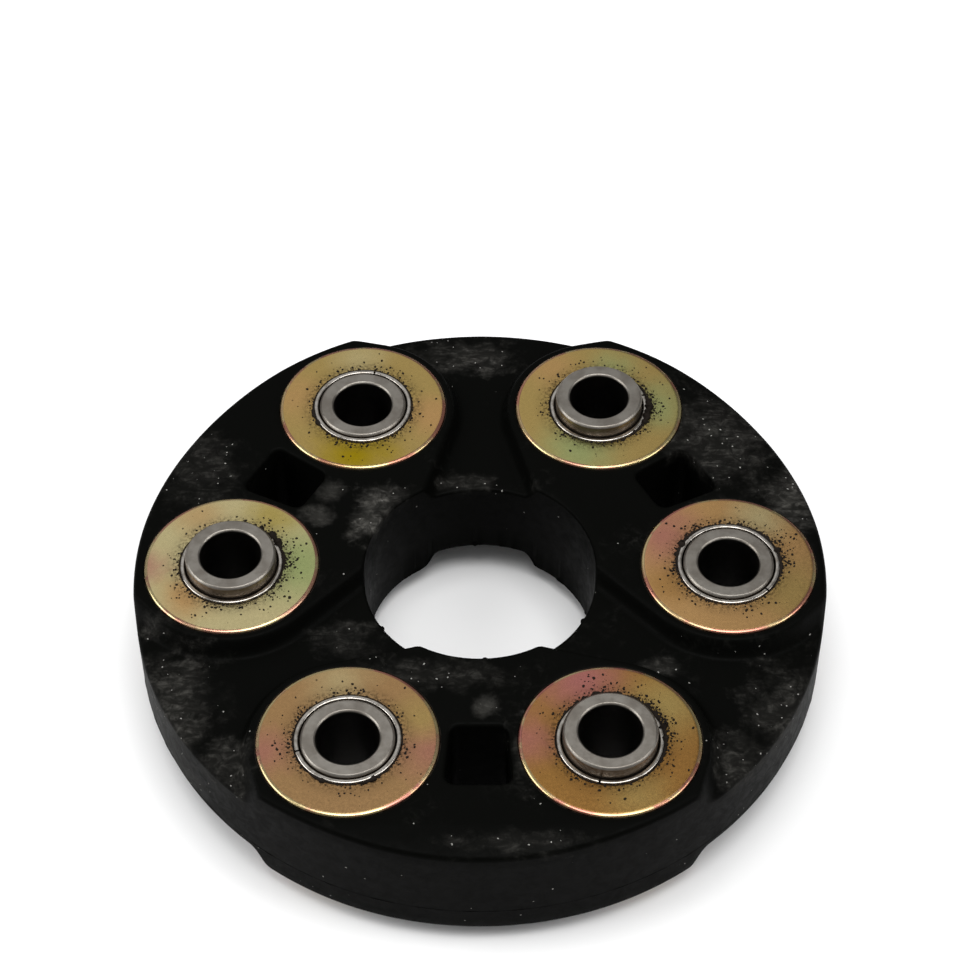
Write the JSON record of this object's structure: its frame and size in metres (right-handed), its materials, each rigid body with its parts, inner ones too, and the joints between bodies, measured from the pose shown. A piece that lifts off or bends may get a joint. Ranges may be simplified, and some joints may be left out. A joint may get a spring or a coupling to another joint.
{
  "type": "flexible disc coupling",
  "caption": "Moulded rubber disc coupling with steel sleeves and plated washers on one bolt circle, for joining two shaft flanges flexibly.",
  "frame": {"origin": "centre of the disc, on its axis and on its middle plane", "axes": "+Z along the shaft axis, out of the upper face; +X through the centre of the first sleeve"},
  "size_m": [0.1392, 0.1392, 0.0326],
  "materials": {
    "rubber": "matte black, grey scuffs",
    "washer_zinc": "yellow chromate zinc plating, iridescent",
    "sleeve_steel": "turned, bare",
    "liner_steel": "rolled, bright",
    "cord": "wound cord in rubber"
  },
  "bodies": {
    "root": {"rubber_body": "rubber", "inner_sleeve_1": "sleeve_steel", "liner_ring_1": "liner_steel", "top_washer_1": "washer_zinc", "bottom_washer_1": "washer_zinc", "inner_sleeve_2": "sleeve_steel", "liner_ring_2": "liner_steel", "top_washer_2": "washer_zinc", "bottom_washer_2": "washer_zinc", "inner_sleeve_3": "sleeve_steel", "liner_ring_3": "liner_steel", "top_washer_3": "washer_zinc", "bottom_washer_3": "washer_zinc", "inner_sleeve_4": "sleeve_steel", "liner_ring_4": "liner_steel", "top_washer_4": "washer_zinc", "bottom_washer_4": "washer_zinc", "inner_sleeve_5": "sleeve_steel", "liner_ring_5": "liner_steel", "top_washer_5": "washer_zinc", "bottom_washer_5": "washer_zinc", "inner_sleeve_6": "sleeve_steel", "liner_ring_6": "liner_steel", "top_washer_6": "washer_zinc", "bottom_washer_6": "washer_zinc", "drive_cord_upper_1": "cord", "drive_cord_lower_1": "cord", "thrust_cord_1": "cord", "drive_cord_upper_2": "cord", "drive_cord_lower_2": "cord", "thrust_cord_2": "cord", "drive_cord_upper_3": "cord", "drive_cord_lower_3": "cord", "thrust_cord_3": "cord"}
  },
  "joints": []
}
